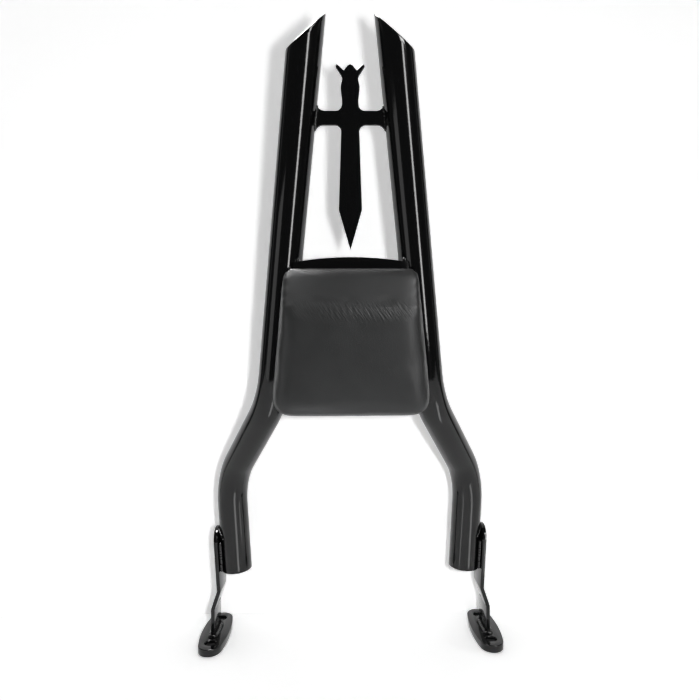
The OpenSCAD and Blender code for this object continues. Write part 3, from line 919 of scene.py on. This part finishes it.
floor_paper = lit_paper("floor_paper", FLOOR_LIFT, False)
sheet_of("floor", floor_paper, (0, -0.3, -0.4 * MM), FLOOR_SIZE, (0, 0, 0))
backdrop_paper = lit_paper("backdrop_paper", PAPER_LIFT, True)
sheet_of("backdrop", backdrop_paper, (0, WALL_Y, 0.9), BACKDROP_SIZE, (math.pi / 2, 0, 0))


def lamp(name, spot, aim, size, energy, glossy, diffuse):
    """A soft rectangular lamp that the camera doesn't see."""
    light = bpy.data.lights.new(name, "AREA")
    light.shape = "RECTANGLE"
    light.size = size[0]
    light.size_y = size[1]
    light.energy = energy
    body = bpy.data.objects.new(name, light)
    bpy.context.collection.objects.link(body)
    body.location = spot
    body.rotation_euler = (Vector(aim) - Vector(spot)).to_track_quat("-Z", "Y").to_euler()
    body.visible_camera = False
    body.visible_glossy = glossy
    body.visible_diffuse = diffuse
    return light


def radiance(level, size):
    """Power of a lamp of this size whose face shows at this level."""
    return level * math.pi * size[0] * size[1]


# The key is a small lamp right beside the lens. It lights and casts shadows, but nothing mirrors it.
KEY_RADIUS = 0.014
KEY_POWER = 13
KEY_OFFSET = Vector((0.050, 0, 0.004))
key = bpy.data.lights.new("key", "POINT")
key.shadow_soft_size = KEY_RADIUS
key.energy = KEY_POWER
key_body = bpy.data.objects.new("key", key)
bpy.context.collection.objects.link(key_body)
key_body.location = EYE + KEY_OFFSET
key_body.visible_camera = False
key_body.visible_glossy = False
key_book = Book(key)
fall = key_book.node("ShaderNodeLightFalloff", inputs={"Strength": 1.0}, output="Constant")
key_book.out(key_book.node("ShaderNodeEmission", inputs={"Strength": fall}), "ShaderNodeOutputLight")

# The other lamps are only seen as highlights in the gloss and on the vinyl.
STRIP = (0.34, 1.5)
lamp("strip_right", (1.02, -1.9, 0.5), (0, -0.1, 0.5), STRIP, radiance(14.5, STRIP), True, False)
PANEL = (0.9, 1.1)
lamp("panel_left", (-1.6, -1.3, 0.1), (0, -0.1, 0.35), PANEL, radiance(1.2, PANEL), True, False)
BROW = (0.6, 0.3)
lamp("brow_light", (0.8, -1.25, 1.18), (0, -0.1, 0.34), BROW, radiance(22.0, BROW), True, False)
LOW_STRIP = (0.045, 0.14)
for side in (-1, 1):
    foot = Vector((side * 0.128 + 0.088, -0.19, 0.055))
    lamp("low_strip_" + ("left" if side < 0 else "right"), foot, (side * 0.128, 0, 0.12), LOW_STRIP,
         radiance(3.4, LOW_STRIP), True, False)
TOP = (0.22, 0.2)
lamp("top_left", (-0.2, -0.09, 0.95), (-0.04, -0.05, 0.35), TOP, radiance(75, TOP), True, False)

# The world looks white and lights the part evenly. In reflections it is dark on the lens side, light beyond.
AMBIENT = 0.3
LENS_SIDE = 0.06
FAR_SIDE = 0.9
world = bpy.data.worlds.new("studio")
bpy.context.scene.world = world
sky = Book(world)
towards = sky.node("ShaderNodeTexCoord", output="Generated")
split = sky.tree.nodes.new("ShaderNodeSeparateXYZ")
sky.tree.links.new(towards.socket, split.inputs[0])
mirror_level = sky.node("ShaderNodeMapRange", {"interpolation_type": "SMOOTHSTEP"},
                        {"Value": Value(sky, split.outputs["Y"]), "From Min": -0.15, "From Max": 0.35,
                         "To Min": LENS_SIDE, "To Max": FAR_SIDE})
sky_path = sky.tree.nodes.new("ShaderNodeLightPath")
sky_seen = Value(sky, sky_path.outputs["Is Camera Ray"])
sky_mirror = Value(sky, sky_path.outputs["Is Glossy Ray"])
level = sky_seen * 1.0 + sky_mirror * mirror_level + (1 - sky_seen) * (1 - sky_mirror) * AMBIENT
backdrop_light = sky.node("ShaderNodeBackground", inputs={"Color": grey(1.0), "Strength": level})
sky.out(backdrop_light, "ShaderNodeOutputWorld")

camera_data = bpy.data.cameras.new("camera")
camera_data.sensor_fit = "HORIZONTAL"
camera_data.sensor_width = 36
camera_data.lens = 36 * FOCAL_PX / FRAME_PX
camera_data.clip_start = 0.01
camera = bpy.data.objects.new("camera", camera_data)
bpy.context.collection.objects.link(camera)
camera.location = EYE
camera.rotation_euler = (math.pi / 2, ROLL, AIM)
bpy.context.scene.camera = camera
bpy.context.scene.view_settings.view_transform = "Standard"
